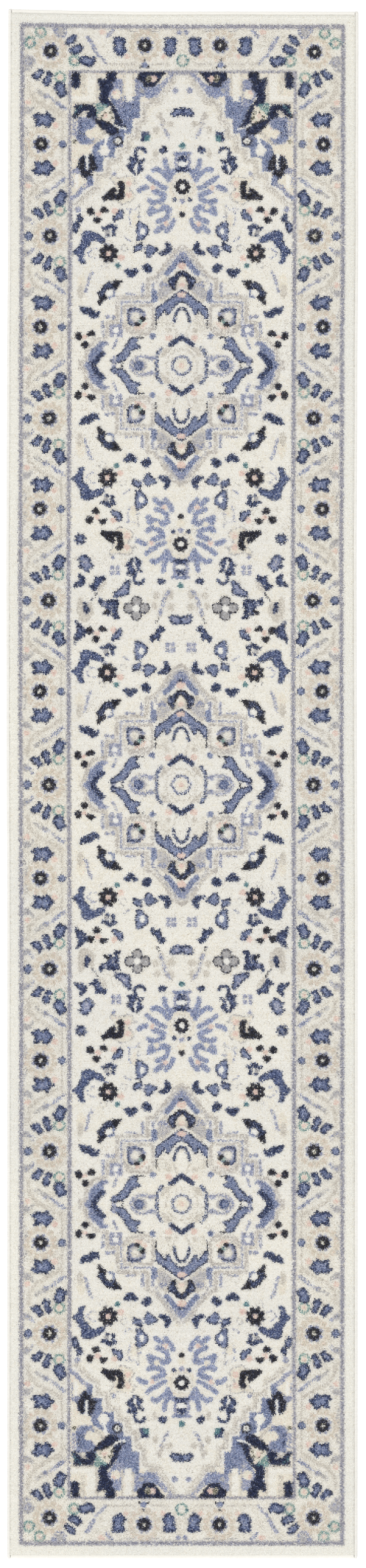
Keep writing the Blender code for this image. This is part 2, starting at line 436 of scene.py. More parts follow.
    m.line([(208, 1200), (208, 1178)], 6, "ivory")
    m.line([(216, 1200), (216, 1180)], 4, "lavender", 0.6)


antlers = [  # leaves of the palmette, from the crown down: width and route
    (10, [(22, 1200), (27, 1191), (30, 1198), (37, 1205), (49, 1213), (57, 1211)]),
    (10, [(34, 1230), (33, 1220), (29, 1211), (21, 1206), (10, 1212)]),
    (9.5, [(68, 1197), (60, 1190), (50, 1185), (43, 1179), (33, 1176)]),
    (10, [(70, 1177), (78, 1176), (85, 1171)]),
    (11, [(56, 1170), (44, 1165), (35, 1162), (38, 1153), (46, 1149), (56, 1146), (65, 1151)]),
    (12, [(26, 1134), (34, 1138), (45, 1134), (54, 1131), (64, 1126), (61, 1135)]),
    (10, [(27, 1132), (29, 1118), (38, 1113), (48, 1109)]),
    (10, [(17, 1112), (22, 1101), (31, 1091)]),
    (11, [(38, 1100), (45, 1095), (51, 1090)]),
]


repeatLength = 826  # from the middle of one medallion to the middle of the next


def palmette(m):
    for start, way in ((0, 1), (2 * repeatLength, -1)):
        m.at(start, way)
        m.ring(0, 1178, 25, 6, "cream")
        m.ring(0, 1178, 21, 3, "beige", share=0.6)
        m.petals(0, 1178, 10, 12.5, 3.2, "black")
        m.disc(0, 1178, 13, "black")
        m.disc(0, 1178, 6, "ivory")
        for wide, route in antlers:
            m.line(route, wide, "palm")
        m.disc(58, 1176, 5, "blush")
        m.disc(32, 1105, 5, "blush")
        m.disc(49, 1139, 6, "cream")
        blob(m, [(0, 1209), (0, 1217), (12, 1218), (14, 1212), (8, 1208)], "navy")
        blob(m, [(0, 1228), (0, 1238), (7, 1236), (8, 1229)], "navy")
        m.line([(12, 1216), (14, 1228), (10, 1240), (16, 1244)], 6, "lavender")
        m.line([(0, 1243), (10, 1244)], 7, "peri")
        m.disc(2, 1223, 5, "ivory")
        m.disc(0, 1150, 5, "lavender")
        m.disc(15, 1153, 4.5, "navy")
        m.disc(0, 1124, 6, "black")
        m.disc(0, 1136, 8, "cream")
        # the pale leaf behind the hook, outlined with a thin line
        leaf = [(88, 1184), (95, 1187), (96, 1196), (104, 1199), (126, 1195), (139, 1200), (141, 1193),
                (134, 1186), (128, 1150), (120, 1143), (112, 1146), (100, 1150), (93, 1158), (96, 1166),
                (103, 1171), (104, 1179), (98, 1184)]
        m.fill(leaf, "cream", "grey", 2.4, 0.8)
        m.disc(106, 1184, 6, "blush")
        m.disc(106, 1162, 6, "blush")
        m.disc(134, 1204, 4, "lavender")
        m.fill([(114, 1184), (119, 1189), (124, 1189), (128, 1184), (124, 1180), (125, 1166), (130, 1162),
                (134, 1165), (130, 1170), (133, 1176), (140, 1173), (148, 1166), (158, 1157), (154, 1150),
                (148, 1153), (125, 1153), (117, 1155), (115, 1163)],
               "black", "black", 2, 1)
        m.line([(84, 1143), (92, 1134), (109, 1134)], 2.4, "lavender", 0.8)
        m.line([(84, 1143), (86, 1120), (86, 1108)], 2.6, "grey", 0.7)
        m.line([(103, 1131), (105, 1118), (101, 1104)], 2.4, "lavender", 0.7)
        m.line([(81, 1119), (88, 1119)], 3, "lavender")
        m.line([(99.5, 1102), (99.5, 1016)], 2, "beige", 0.7)
        m.disc(94, 1113, 6, "cream", 12)
    m.at(0)
    blob(m, [(196, 1116), (200, 1123), (205, 1122), (206, 1112), (200, 1109)], "navy")
    blob(m, [(204, 1105), (210, 1108), (214, 1103), (215, 1092), (210, 1087), (206, 1092)])
    m.disc(205, 1133, 6, "lavender")


medallionLines = [  # yarn, width, how solid, route
    ("taupe", 8, 0.72, [(0, 1062), (14, 1052), (26, 1036), (40, 1014), (56, 998), (67, 996), (67, 961),
                        (127, 960), (127, 912), (146, 910), (148, 880), (172, 876), (186, 858),
                        (190, 838), (200, 820)]),
    ("guardPale", 6, 0.75, [(0, 1054), (12, 1045), (24, 1029), (37, 1010), (48, 1000), (50, 990)]),
    ("taupe", 7, 0.75, [(57, 942), (57, 900), (68, 888), (84, 890), (104, 890), (113, 904), (113, 944),
                        (57, 944)]),
    ("taupe", 4, 0.7, [(64, 900), (74, 896), (100, 896), (110, 908)]),
    ("peri", 11, 1, [(2, 1044), (12, 1030), (20, 1018), (30, 1008)]),
    ("lavender", 6, 0.8, [(0, 1048), (12, 1034)]),
    ("lavender", 6, 0.85, [(57, 987), (57, 970)]),
    ("peri", 13, 1, [(54, 968), (54, 956)]),
    ("lavender", 6, 0.8, [(77, 986), (77, 965)]),
    ("lavender", 5, 0.85, [(90, 967), (109, 967)]),
    ("lavender", 4.5, 0.8, [(58, 951), (119, 951), (119, 905)]),
    ("lavender", 6, 0.8, [(155, 911), (155, 886)]),
    ("lavender", 5, 0.9, [(128, 876), (131, 868), (135, 860)]),
    ("lavender", 8, 0.9, [(133, 832), (133, 812)]),
    ("lavender", 8, 0.85, [(33, 984), (38, 988), (42, 983)]),
    ("lavender", 6, 0.75, [(177, 1010), (182, 1000), (185, 990), (187, 980), (190, 971)]),
    ("lavender", 3, 0.8, [(101, 1071), (107, 1074), (113, 1079)]),
    ("lavender", 2.4, 0.8, [(152, 1068), (140, 1063)]),
    ("lavender", 2.4, 0.7, [(169, 1056), (178, 1057), (180, 1051), (187, 1049), (184, 1042), (177, 1037),
                            (169, 1038)]),
    ("grey", 2.2, 0.6, [(147, 1031), (148, 1021), (156, 1016), (160, 1022), (160, 1030)]),
    ("beige", 4, 0.7, [(17, 906), (10, 893), (10, 884)]),
    ("navy", 6, 0.9, [(0, 939), (6, 937), (11, 930), (14, 920), (15, 913)]),
    ("black", 2.6, 0.85, [(51, 936), (50.5, 915), (50.5, 898)]),
    ("black", 3, 0.85, [(74, 881), (83, 882), (92, 881)]),
    ("black", 2.4, 0.75, [(109, 838), (115, 832), (117, 826), (115, 816)]),
    ("navy", 7, 0.85, [(39, 861), (43, 856), (48, 846), (48, 832), (50, 818)]),
    ("peri", 3, 0.8, [(39, 861), (43, 856), (48, 846), (48, 832), (50, 818)]),
    ("grey", 11, 0.35, [(53, 841), (62, 841), (72, 844), (84, 843), (94, 837), (101, 828)]),
    ("lavender", 5.5, 0.8, [(53, 841), (62, 841), (72, 844), (84, 843), (94, 837), (101, 828)]),
    ("navy", 5, 0.8, [(0, 844), (7, 843), (13, 837), (18, 829), (18, 818)]),
    ("lavender", 2.4, 0.9, [(0, 844), (7, 843), (13, 837), (18, 829), (18, 818)]),
]

medallionShapes = [  # yarn, edge, outline
    ("peri", "navy", [(0, 975), (12, 967), (24, 957), (34, 950), (44, 943), (51, 937), (51, 919),
                      (47, 919), (42, 925), (37, 932), (34, 937), (31, 934), (30, 927), (26, 926),
                      (22, 931), (19, 938), (14, 944), (8, 949), (0, 952)]),
    ("navy", "black", [(0, 1012), (8, 1010), (15, 1002), (24, 999), (27, 993), (24, 985), (18, 977),
                       (13, 976), (14, 984), (12, 990), (8, 997), (0, 1004)]),
    ("navy", "navy", [(0, 886), (5, 883), (12, 878), (20, 873), (25, 867), (23, 863), (17, 866), (8, 872),
                      (0, 879)]),
    ("peri", "navy", [(86, 878), (92, 882), (100, 880), (105, 873), (110, 865), (114, 857), (120, 850),
                      (128, 842), (139, 837), (138, 829), (128, 832), (115, 834), (107, 841), (102, 849),
                      (101, 854), (94, 858), (81, 861), (84, 866), (90, 869)]),
    ("peri", "lavender", [(144, 869), (150, 873), (160, 872), (166, 866), (178, 857), (182, 848),
                          (183, 836), (192, 826), (186, 818), (174, 818), (170, 836), (160, 844),
                          (150, 849), (156, 856), (155, 865)]),
    ("navy", "navy", [(150, 850), (157, 853), (165, 846), (172, 838), (178, 830), (178, 818), (169, 818),
                      (168, 829), (161, 838)]),
    ("navy", "navy", [(30, 1070), (33, 1067), (31, 1057), (36, 1053), (46, 1047), (42, 1044), (32, 1044),
                      (25, 1048), (21, 1055), (24, 1063)]),
    ("peri", "navy", [(48, 1056), (60, 1061), (66, 1063), (71, 1060), (73, 1048), (69, 1040), (64, 1039),
                      (58, 1046), (52, 1050)]),
    ("peri", "navy", [(80, 1069), (84, 1065), (95, 1061), (94, 1053), (95, 1049), (90, 1052), (79, 1054)]),
    ("navy", "navy", [(60, 1018), (68, 1027), (78, 1022), (77, 1016), (72, 1011), (64, 1009), (60, 1012)]),
    ("navy", "navy", [(87, 1012), (92, 1016), (99, 1013), (107, 1016), (114, 1013), (110, 1008),
                      (104, 1001), (99, 1000), (94, 1004)]),
    ("navy", "black", [(118, 993), (134, 993), (138, 989), (143, 991), (153, 985), (157, 978), (161, 972),
                       (167, 968), (162, 965), (163, 957), (165, 947), (162, 946), (158, 951), (152, 955),
                       (148, 960), (153, 966), (150, 972), (145, 978), (138, 977), (132, 974),
                       (124, 986)]),
    ("black", None, [(118, 993), (134, 993), (136, 985), (133, 976), (124, 986)]),
    ("black", None, [(148, 961), (162, 962), (165, 947), (162, 946), (158, 951), (152, 955)]),
    ("navy", "navy", [(162, 934), (163, 928), (165, 922), (173, 920), (180, 922), (183, 927), (190, 927),
                      (197, 932), (201, 942), (190, 940), (182, 940), (174, 934), (168, 929)]),
    ("slate", "navy", [(151, 1072), (158, 1080), (170, 1086), (180, 1090), (190, 1091), (197, 1087),
                       (197, 1074), (203, 1061), (209, 1054), (215, 1049), (208, 1044), (203, 1040),
                       (202, 1032), (197, 1027), (191, 1028), (194, 1036), (195, 1046), (193, 1056),
                       (184, 1062), (180, 1072), (172, 1074), (163, 1070), (156, 1068)]),
    ("black", "black", [(170, 888), (174, 893), (178, 895), (182, 891), (187, 886), (180, 884), (173, 885)]),
    ("black", "black", [(197, 882), (199, 890), (204, 892), (209, 888), (209, 881), (203, 877), (198, 879)]),
    ("black", "black", [(146, 1130), (150, 1136), (155, 1139), (160, 1134), (161, 1130), (153, 1129)]),
    ("black", "black", [(173, 1125), (174, 1133), (180, 1137), (186, 1134), (187, 1127), (181, 1123)]),
    ("black", "black", [(160, 1115), (165, 1118), (173, 1117), (175, 1112), (168, 1106), (163, 1109)]),
    ("peri", "navy", [(116, 1128), (120, 1133), (125, 1131), (128, 1124), (134, 1120), (137, 1114),
                      (133, 1110), (127, 1114), (119, 1116)]),
    ("peri", "navy", [(66, 1095), (70, 1101), (76, 1104), (80, 1108), (87, 1110), (90, 1104), (89, 1097),
                      (91, 1088), (88, 1080), (90, 1072), (80, 1073), (74, 1080), (68, 1085)]),
    ("navy", "navy", [(128, 1098), (133, 1100), (140, 1105), (147, 1102), (151, 1098), (159, 1098),
                      (155, 1093), (146, 1094), (140, 1099), (137, 1094), (138, 1082), (132, 1082),
                      (134, 1092)]),
]


def medallion(m):
    for start, way in ((0, 1), (2 * repeatLength, -1), (-repeatLength, 1)):
        m.at(start, way)
        m.fill([(10, 1003), (16, 975), (30, 1004), (46, 990), (50, 956), (40, 950), (14, 972), (0, 980),
                (0, 1003)], "beige")
        m.fill([(17, 975), (28, 982), (46, 976), (46, 958), (36, 958)], "guardPale")
        m.line([(24, 981), (36, 990), (46, 984)], 5, "lavender", 0.5)
        m.fill([(36, 928), (50, 912), (46, 880), (30, 900), (20, 905), (22, 925)], "border")
        m.fill([(10, 866), (22, 860), (34, 862), (42, 840), (30, 846), (20, 858)], "beige")
        m.disc(0, 1023, 9, "blush", 8)
        m.disc(198, 985, 9, "cream", 22)
        m.disc(200, 972, 6, "beige", 14)
        for yarn, wide, share, route in medallionLines:
            m.line(route, wide, yarn, share)
        for yarn, edge, outline in medallionShapes:
            m.fill(outline, yarn, "ink" if (yarn, edge) == ("peri", "navy") else edge)
        m.disc(22, 991, 3.5, "peri")
        m.disc(3, 1031, 3, "navy")
        m.disc(2, 992, 6, "cream", 9)
        m.disc(2, 985, 4, "blush")
        m.disc(3, 965, 6, "blush", 5)
        m.disc(78, 1090, 5.5, "ivory", 7)
        m.disc(146, 1083, 4, "navy")
        m.disc(148, 1089, 5, "grey")
        m.disc(165, 1125, 6, "blush", 5)
        m.disc(133, 1131, 6, "blush")
        m.ring(75, 1056, 4, 1.8, "lavender", share=0.7)
        m.disc(145, 969, 5.5, "ivory")
        m.line([(134, 974), (134, 963), (143, 960)], 5, "peri")
        rosette(m, 145, 1047, 16.5, "black", "blush", "blush")
        m.ring(114, 1057, 6, 2, "grey", share=0.6)
        m.disc(127, 1023, 5.5, "teal")
        m.disc(120, 1038, 7, "blush", 6)
        m.disc(135, 921, 4, "lavender")
        m.disc(146, 922, 5, "lavender", 4)
        m.disc(190, 867, 7, "black")
        m.disc(191, 882, 5, "blush", 4)
        m.fill([(117, 907), (142, 907), (142, 882), (117, 882)], "lavender")
        m.disc(130, 896, 6, "ivory")
        m.disc(130, 885, 3, "ivory")
        # flower in its square panel
        m.disc(92, 921, 22, "cream")
        m.fill([(71, 929), (76, 934), (82, 939), (90, 941), (100, 941), (108, 938), (108, 925),
                (107, 913), (103, 905), (96, 902), (80, 908), (72, 918)], "lavender")
        m.line([(78, 933), (88, 937), (104, 937), (105.5, 922), (105, 910), (98, 905)], 4, "navy", 0.85)
        m.fill([(77, 928), (86, 932), (98, 932), (100, 915), (93, 909), (84, 912)], "guardPale")
        m.disc(92, 923, 8, "border")
        m.disc(77, 918, 6, "black")
        m.disc(88, 906, 6, "black", 5)
        m.disc(82, 913, 4, "mint")
        m.line([(71, 908), (79, 901), (90, 899)], 6, "blush", 0.8)
        m.disc(57, 884, 6, "peri")
        m.disc(82, 826, 14, "guardPale", 12)
        m.disc(84, 826, 10, "slate", 10)
        m.disc(85, 826, 5, "peri", 6)
        m.disc(60, 840, 5, "lavender")
        m.disc(25, 880, 7, "blush", 6)
        m.disc(26, 895, 6, "beige", 5)
        m.ring(0, 826, 31, 6, "beige", share=0.45)
        m.disc(0, 826, 12, "cream")
        m.disc(0, 826, 5, "blush")


def between(m):
    m.at(0)
    for u, v, r, tall in ((20, 350, 8, 8), (20, 375, 6, 10), (48, 372, 7, 8), (52, 352, 6, 8),
                          (190, 330, 12, 10),
                          (178, 345, 6, 16), (198, 350, 7, 22)):
        m.disc(u, v, r, "beige", tall)
    frond = [(23, 380), (30, 372), (35, 358), (38, 345), (42, 335)]
    m.line(frond, 12, "beige", 0.7)
    m.line(frond, 7, "lavender", 0.65)
    for outline, heart in (
        ([(0, 326), (5, 331), (10, 333), (17, 334), (22, 331), (20, 324), (15, 318), (8, 317), (0, 319)],
         "peri"),
        ([(32, 305), (36, 310), (41, 312), (46, 306), (48, 300), (55, 294), (60, 291), (59, 283),
          (56, 281), (53, 288), (46, 289), (43, 285), (41, 292), (42, 299), (36, 302)], "navy"),
        ([(187, 305), (195, 312), (201, 317), (207, 322), (204, 312), (203, 305), (205, 298), (208, 292),
          (209, 280), (203, 287), (195, 289), (190, 294)], "navy"),
        ([(123, 362), (130, 364), (140, 363), (150, 360), (161, 368), (161, 360), (158, 355), (148, 352),
          (146, 345), (143, 335), (131, 340), (133, 333), (130, 328), (122, 329), (126, 335), (126, 350)],
          "navy"),
        ([(181, 345), (185, 350), (186, 357), (190, 358), (190, 350), (189, 342), (185, 338)], "navy"),
        ([(100, 400), (104, 403), (108, 399), (114, 393), (118, 386), (125, 383), (131, 377), (131, 371),
          (120, 372), (104, 376), (103, 385)], "peri"),
        ([(173, 433), (178, 438), (180, 446), (187, 451), (193, 452), (203, 444), (197, 440), (198, 434),
          (200, 430), (193, 427), (187, 422), (182, 421), (177, 427)], "peri"),
        ([(200, 416), (195, 412), (189, 405), (190, 397), (196, 392), (210, 391), (206, 397), (200, 401),
          (199, 406)], "navy"),
        ([(149, 406), (153, 412), (158, 408), (169, 410), (169, 402), (170, 395), (180, 393), (173, 385),
          (168, 384), (164, 388), (157, 399), (152, 402)], "navy"),
        ([(31, 400), (37, 407), (43, 404), (45, 400), (40, 397), (34, 399)], "navy"),
    ):
        blob(m, outline, heart)
    m.line([(136, 351), (136, 334)], 4, "grey", 0.7)
    m.disc(151, 356, 4, "lavender")
    m.line([(144, 342), (151, 337)], 7, "black")
    for r, yarn in ((11, "black"), (8.6, "grey")):
        for u, v in ((87.5, 361), (72, 348), (102, 348), (87.5, 334)):
            m.disc(u, v, r, yarn)
    m.disc(88, 347.5, 7, "ivory")
    m.line([(165, 379), (168, 372), (173, 367), (177, 362)], 3, "black", 0.6)
    m.line([(44, 327), (48, 320)], 4, "black", 0.8)
    for u, v in ((21, 271), (129.5, 423)):
        m.fill([(u - 9.5, v - 9.5), (u + 9.5, v - 9.5), (u + 9.5, v + 9.5), (u - 9.5, v + 9.5)], "lavender")
        m.line([(u, v - 9), (u, v + 9)], 3, "field")
        m.line([(u - 9, v), (u + 9, v)], 3, "field")
    m.line([(150, 398), (156, 388), (162, 382)], 9, "beige", 0.7)
    star = []
    for k in range(16):
        r, turn = 11 if k % 2 else 6, math.pi * k / 8 + 0.2
        star.append((198 + r * math.cos(turn), 484 + r * math.sin(turn)))
    blob(m, star)
    for shift, way in ((0, 1), (1651, -1)):  # the drop-shaped ornament, beside both palmettes
        m.at(shift, way)
        blob(m, [(78, 437), (83, 442), (88, 448), (92, 444), (90, 436), (86, 425), (82, 421), (76, 420),
                 (80, 425), (84, 430), (80, 433)], "navy")
        blob(m, [(94, 447), (100, 441), (104, 437), (108, 432), (104, 428), (101, 423), (106, 416),
                 (98, 414), (90, 412), (88, 418), (94, 428), (98, 435), (96, 441)], "navy")
        m.line([(92, 443), (89, 427)], 3.4, "ivory")
        m.line([(91, 413), (93, 405), (90, 398), (83, 396), (76, 398), (73, 404)], 6, "navy")
    m.at(0)
    m.disc(0, 392, 6, "teal", 5)
    # leaves beside the half moon and the end flower of the field
    blob(m, [(0, 1333), (8, 1332), (17, 1330), (22, 1322), (19, 1317), (10, 1319), (0, 1320)])
    frond = [(39, 1310), (40, 1303), (36, 1295), (33, 1285), (27, 1277)]
    m.line(frond, 8, "grey", 0.4)
    m.line(frond, 6, "lavender", 0.7)
    for u, v, r, tall in ((24, 1302, 7, 6), (52, 1290, 6, 8), (46, 1316, 6, 4), (53, 1243, 5, 9),
                          (58, 1350, 8, 5)):
        m.disc(u, v, r, "beige", tall)
    m.line([(44, 1322), (40, 1310), (37, 1300)], 8, "taupe", 0.6)
    m.fill([(65, 1288), (70, 1286), (80, 1286), (81, 1278), (84, 1270), (80, 1267), (65, 1268)], "navy")
    m.fill([(64, 1280), (75, 1279), (76, 1267), (65, 1268)], "teal")
    m.line([(80, 1286), (88, 1291)], 2, "grey")
    blob(m, [(31, 1251), (35, 1257), (43, 1253), (44, 1248), (39, 1245), (33, 1248)], "navy")
    m.disc(0, 1259, 6, "teal")


def drawChart():
    m = Chart()
    for part in (grounds, sideBorder, cornerBorder, guardStripes, spandrel, palmette, medallion, between):
        part(m.at(0))
    return m


# from the chart to the colour of each knot


def patches(rng, shape, size, pitch):
    # soft random patches over the whole rug, 0 to 1, about this many millimetres across
    rows, cols = shape
    coarse = rng.random((int(rows * pitch / size) + 3, int(cols * pitch / size) + 3))
    along = np.arange(rows) * pitch / size
    across = np.arange(cols) * pitch / size
    wide = np.array([np.interp(across, np.arange(coarse.shape[1]), line) for line in coarse])
    full = np.array([np.interp(along, np.arange(coarse.shape[0]), line) for line in wide.T]).T
    return full


def bleed(colours, reach):
    # evens colours out over a few cells of the chart each way, and mirrors them over the middle lines
    step = 2 * reach + 1
    for axis in (0, 0, 1, 1):
        edges = [(reach, reach) if k == axis else (0, 0) for k in range(3)]
        wide = np.cumsum(np.pad(colours, edges, mode="symmetric"), axis)
        wide = np.concatenate((np.take(wide, [0], axis) * 0, wide), axis)
        count = colours.shape[axis]
        upper, lower = np.take(wide, range(step, step + count), axis), np.take(wide, range(count), axis)
        colours = (upper - lower) / step
    return colours


dyeing = {
    "seed": 5,
    "stray": 0.95,  # how far knots stray over an outline, in millimetres
    "patternShift": -1.3,  # where the pattern's middle is, in millimetres to the right of the rug's
    "second": 0.4,  # how much of a second look-up shows in a knot
    "bleed": 0.26, "bleedReach": 3, "bleedLeast": 0.3, "bleedMost": 1.7,
    "speckleSize": 9, "cloudSize": 34, "driftSize": 120,  # of soft patches, in millimetres
    "drift": 5, "driftTint": (1, 0.8, 0.2), "rowSpread": 1.3,
}


def dyeKnots(chart, x, y):
    # x and y are the knots' places in millimetres; the pattern is the same in all four quarters
    rng = np.random.default_rng(dyeing["seed"])
    palette = np.array([yarns[name][0] for name in yarnNames], float)
    stray = np.array([yarns[name][1] for name in yarnNames], float)
    pitch = x[0, 1] - x[0, 0]

    def cells(u, v):
        u = np.minimum(np.abs(u), chartLook["across"] - 1)
        v = np.minimum(np.abs(v), chartLook["along"] - 1)
        return v.astype(int), u.astype(int)

    def lookUp():
        u = x - dyeing["patternShift"] + rng.normal(0, dyeing["stray"], x.shape)
        v = y + rng.normal(0, dyeing["stray"], x.shape)
        first = chart.yarn[cells(u, v)]
        roll = rng.random(x.shape)
        mixed = first.copy()
        for number, name in enumerate(yarnNames):
            low = 0.0
            for other, share in yarns[name][2]:
                hit = (first == number) & (roll >= low) & (roll < low + share)
                mixed[hit] = yarnNames.index(other)
                low += share
        return mixed

    one, two = lookUp(), lookUp()
    speckle = patches(rng, x.shape, dyeing["speckleSize"], pitch)
    cloud = patches(rng, x.shape, dyeing["cloudSize"], pitch)
    beige, border, field = (yarnNames.index(name) for name in ("beige", "border", "field"))
    one[(one == border) & (speckle * 0.6 + cloud * 0.4 > 0.62)] = beige
    one[(one == border) & (speckle * 0.6 + cloud * 0.4 < 0.36)] = yarnNames.index("ivory")
    one[(one == field) & (speckle * 0.5 + cloud * 0.5 > 0.62)] = yarnNames.index("cream")
    one[(one == field) & (speckle * 0.5 + cloud * 0.5 < 0.34) & (rng.random(x.shape) < 0.45)] = beige
    colour = (1 - dyeing["second"]) * palette[one] + dyeing["second"] * palette[two]
    # tips of neighbouring tufts lie over each knot, more over some than over others
    soft = bleed(palette[chart.yarn], dyeing["bleedReach"])
    share = dyeing["bleed"] * rng.uniform(dyeing["bleedLeast"], dyeing["bleedMost"], x.shape)[..., None]
    colour += (soft[cells(x - dyeing["patternShift"], y)] - colour) * share
    colour += (rng.normal(0, 1, x.shape) * stray[one])[..., None]
    drift = (patches(rng, x.shape, dyeing["driftSize"], pitch) - 0.5) * dyeing["drift"]
    colour += drift[..., None] * np.array(dyeing["driftTint"])
    # each row of knots takes the dye a little differently
    weft = rng.normal(0, dyeing["rowSpread"], x.shape[0])
    darkest, lightest = 8, 255
    return np.clip(colour + weft[:, None, None], darkest, lightest)


def coordinates(mesh):
    co = np.empty(len(mesh.vertices) * 3)
    mesh.vertices.foreach_get("co", co)
    return co.reshape(-1, 3)


def place(mesh, co):
    mesh.vertices.foreach_set("co", co.ravel())
    mesh.update()


def toMesh(name, bm):
    mesh = bpy.data.meshes.new(name)
    bm.to_mesh(mesh)
    bm.free()
    return mesh


def newVerts(geometry):
    # what an extrusion made, without its edges and faces
    return [item for item in geometry if isinstance(item, bmesh.types.BMVert)]


def addPiece(name, mesh, material, slot, *nodes):
    mesh.materials.append(material)
    piece = bpy.data.objects.new(name, mesh)
    bpy.context.scene.collection.objects.link(piece)
    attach(piece, "root")
    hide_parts(*nodes)
    return piece


foldLook = {"side": 0.012, "over": 0.01, "rowGap": 0.03}  # bare margins of the map, as shares


def foldMap(mesh, along, across, length, width, rows):
    # lays a long strip out as rows one above the other in a square; along and across are per vertex
    loops, faces = len(mesh.loops), len(mesh.polygons)
    vertexOf = np.empty(loops, int)
    mesh.loops.foreach_get("vertex_index", vertexOf)
    sizes = np.empty(faces, int)
    mesh.polygons.foreach_get("loop_total", sizes)
    faceOf = np.repeat(np.arange(faces), sizes)
    s, t = along[vertexOf] / length, across[vertexOf] / width
    middle = np.bincount(faceOf, s) / sizes
    row = np.clip((middle * rows).astype(int), 0, rows - 1)[faceOf]
    uv = np.empty((loops, 2))
    side, over, rowGap = foldLook["side"], foldLook["over"], foldLook["rowGap"]
    uv[:, 0] = side + (1 - 2 * side) * np.clip(s * rows - row, -over, 1 + over)
    uv[:, 1] = (row + rowGap + (1 - 2 * rowGap) * t) / rows
    mesh.uv_layers.new(name="OFBake").data.foreach_set("uv", uv.ravel())


def newGroup(name, inputs, outputs):
    group = bpy.data.node_groups.new(name, "ShaderNodeTree")
    for label, kind, value in inputs:
        socket = group.interface.new_socket(label, in_out="INPUT", socket_type=kind)
        if value is not None:
            socket.default_value = value
    for label, kind in outputs:
        group.interface.new_socket(label, in_out="OUTPUT", socket_type=kind)
    return group, Nodes(group)


class Nodes:
    # short ways to add and join nodes in one tree
    def __init__(self, tree):
        self.tree = tree

    def add(self, kind, values=(), **settings):
        node = self.tree.nodes.new("ShaderNode" + kind)
        for key, value in settings.items():
            setattr(node, key, value)
        for key, value in dict(values).items():
            self.feed(node.inputs[key], value)
        return node

    def feed(self, socket, value):
        if isinstance(value, bpy.types.NodeSocket):
            self.tree.links.new(value, socket)
        else:
            socket.default_value = value

    def ends(self):
        return self.tree.nodes.new("NodeGroupInput").outputs, self.tree.nodes.new("NodeGroupOutput").inputs

    def maths(self, operation, *values):
        return self.add("Math", enumerate(values), operation=operation).outputs[0]

    def blend(self, factor, a, b, how="MIX"):
        node = self.add("Mix", data_type="RGBA", blend_type=how)
        colours = [s for s in node.inputs if s.type == "RGBA"]
        self.feed(node.inputs[0], factor)
        self.feed(colours[0], a)
        self.feed(colours[1], b)
        return next(s for s in node.outputs if s.type == "RGBA")

    def ramp(self, value, low, high, first=0.0, last=1.0):
        values = {"Value": value, "From Min": low, "From Max": high, "To Min": first, "To Max": last}
        return self.add("MapRange", values, clamp=True).outputs[0]


def makeYarnGrain():
    # fibre ends of spun yarn: round tips with painted shade in the gaps between them, and a finer fuzz over
    # them
    group, n = newGroup(
        "yarnGrain",
        [("Vector", "NodeSocketVector", None), ("Tip Size", "NodeSocketFloat", 0.0008),
         ("Gap", "NodeSocketFloat", 0.4)],
        [("Shade", "NodeSocketFloat"), ("Height", "NodeSocketFloat")],
    )
    given, out = n.ends()
    scale = n.maths("DIVIDE", 1.0, given["Tip Size"])
    tips = n.add("TexVoronoi", {"Vector": given["Vector"], "Scale": scale, "Randomness": 0.9})
    fineScale = n.maths("MULTIPLY", scale, 2.3)
    fuzz = n.add("TexNoise", {"Vector": given["Vector"], "Scale": fineScale, "Detail": 2.0})
    dome = n.ramp(tips.outputs["Distance"], 0.1, 0.75, 1.0, 0.0)
    n.feed(out["Height"], n.maths("ADD", dome, n.maths("MULTIPLY", fuzz.outputs[0], 0.5)))
    # painted shade: the gaps between the tips are darkened, standing in for the shade deep between them; the
    # fuzz below only varies the fibres' tone
    dark = n.maths("MULTIPLY", n.maths("SUBTRACT", 1.0, dome), given["Gap"])
    grain = n.ramp(fuzz.outputs[0], 0.3, 0.7, 0.92, 1.06)
    n.feed(out["Shade"], n.maths("MULTIPLY", n.maths("SUBTRACT", 1.0, dark), grain))
    return group


def makeWeave():
    # plain weave: warp and weft threads crossing over and under
    group, n = newGroup(
        "plainWeave",
        [("Vector", "NodeSocketVector", None), ("Warp", "NodeSocketFloat", 600.0),
         ("Weft", "NodeSocketFloat", 500.0)],
        [("Height", "NodeSocketFloat"), ("Over", "NodeSocketFloat")],
    )
    given, out = n.ends()
    bend = n.add("TexNoise", {"Vector": given["Vector"], "Scale": 60.0, "Detail": 1.0})
    split = n.add("SeparateXYZ", {"Vector": given["Vector"]})
    wander = n.maths("MULTIPLY", n.maths("SUBTRACT", bend.outputs[0], 0.5), 0.003)
    waves = []
    for axis, density in (("X", "Warp"), ("Y", "Weft")):
        turns = n.maths("MULTIPLY", n.maths("ADD", split.outputs[axis], wander), given[density])
        waves.append(n.maths("SINE", n.maths("MULTIPLY", turns, 2 * math.pi)))
    crossing = n.maths("MULTIPLY", *waves)
    n.feed(out["Over"], n.ramp(crossing, -0.6, 0.6))
    ribs = n.maths("ADD", n.maths("ABSOLUTE", waves[0]), n.maths("ABSOLUTE", waves[1]))
    n.feed(out["Height"], n.maths("ADD", n.maths("MULTIPLY", ribs, 0.35), n.maths("MULTIPLY", crossing, 0.3)))
    return group


def makeSoil():
    # slow changes over a hand's breadth: handling, dust and uneven bleach
    group, n = newGroup(
        "slowStain",
        [("Vector", "NodeSocketVector", None), ("Size", "NodeSocketFloat", 0.05)],
        [("Amount", "NodeSocketFloat")],
    )
    given, out = n.ends()
    scale = n.maths("DIVIDE", 1.0, given["Size"])
    cloud = n.add("TexNoise", {"Vector": given["Vector"], "Scale": scale, "Detail": 3.0, "Roughness": 0.6})
    n.feed(out["Amount"], n.ramp(cloud.outputs[0], 0.35, 0.7))
    return group


effects = {"yarnGrain": makeYarnGrain(), "plainWeave": makeWeave(), "slowStain": makeSoil()}


